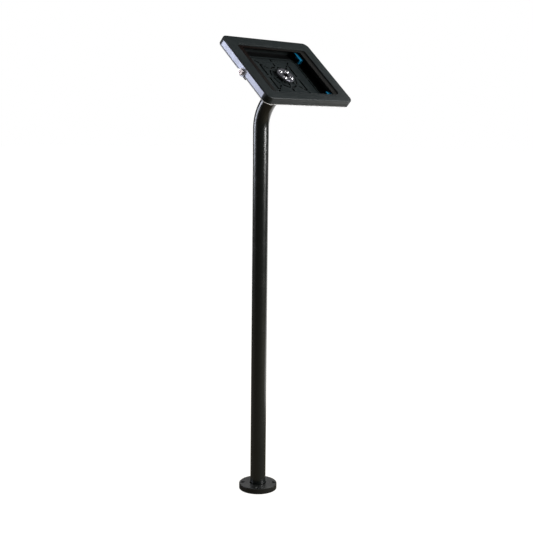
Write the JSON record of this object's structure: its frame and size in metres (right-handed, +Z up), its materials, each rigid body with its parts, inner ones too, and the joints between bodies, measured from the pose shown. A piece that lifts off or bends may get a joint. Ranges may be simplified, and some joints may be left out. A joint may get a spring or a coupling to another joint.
{
  "type": "locking tablet floor stand",
  "caption": "Black floor stand: round bolt-down flange, bent tube pole and a tilted, key-locked tablet case with a screen window, hinged front frame and clips inside.",
  "frame": {"origin": "centre of the floor flange's underside, on the pole's axis", "axes": "+Z up along the pole; the case faces -Y and tilts up; +X is the case's right seen from its front, the lock is on its -X side"},
  "size_m": [0.2937, 0.2145, 1.1002],
  "materials": {
    "black_steel": "satin black powder coat",
    "case_black": "fine satin grain",
    "mask_dark": "matt",
    "bright_trim": "satin anodised",
    "lock_chrome": "polished",
    "steel_bare": "satin",
    "fastener_steel": "polished zinc",
    "clip_teal": "soft satin",
    "plug_brass": "nickel-washed"
  },
  "bodies": {
    "stand": {"base_flange": "black_steel", "foot_weld": "black_steel", "pole_tube": "black_steel", "neck_weld": "black_steel", "neck_flange": "black_steel", "hub_disc": "steel_bare", "hub_screws": "fastener_steel", "rear_tray": "case_black", "rear_trim": "bright_trim", "trim_screws": "fastener_steel", "side_strip": "bright_trim", "strip_screws": "fastener_steel", "lock_barrel": "lock_chrome", "lock_washer": "fastener_steel", "lock_nut": "fastener_steel", "hinge_pins": "fastener_steel", "clip_top_right": "clip_teal", "clip_bottom_right": "clip_teal", "clip_top_left": "clip_teal", "clip_bottom_left": "clip_teal"},
    "frame": {"front_frame": "case_black", "window_mask": "mask_dark", "lock_strike": "steel_bare"},
    "lock": {"key_plug": "plug_brass", "lock_cam": "steel_bare", "cam_screw": "fastener_steel"}
  },
  "joints": [
    {"name": "frame_hinge", "type": "hinge", "parent": "stand", "child": "frame", "pos_m": [0.1442, -0.08456, 1.02324], "axis": [0, 0.7373, 0.6756], "range_deg": [0, 100]},
    {"name": "key_turn", "type": "hinge", "parent": "stand", "child": "lock", "pos_m": [-0.14, -0.08249, 1.01625], "axis": [-1, 0, 0], "range_deg": [0, 90]}
  ]
}
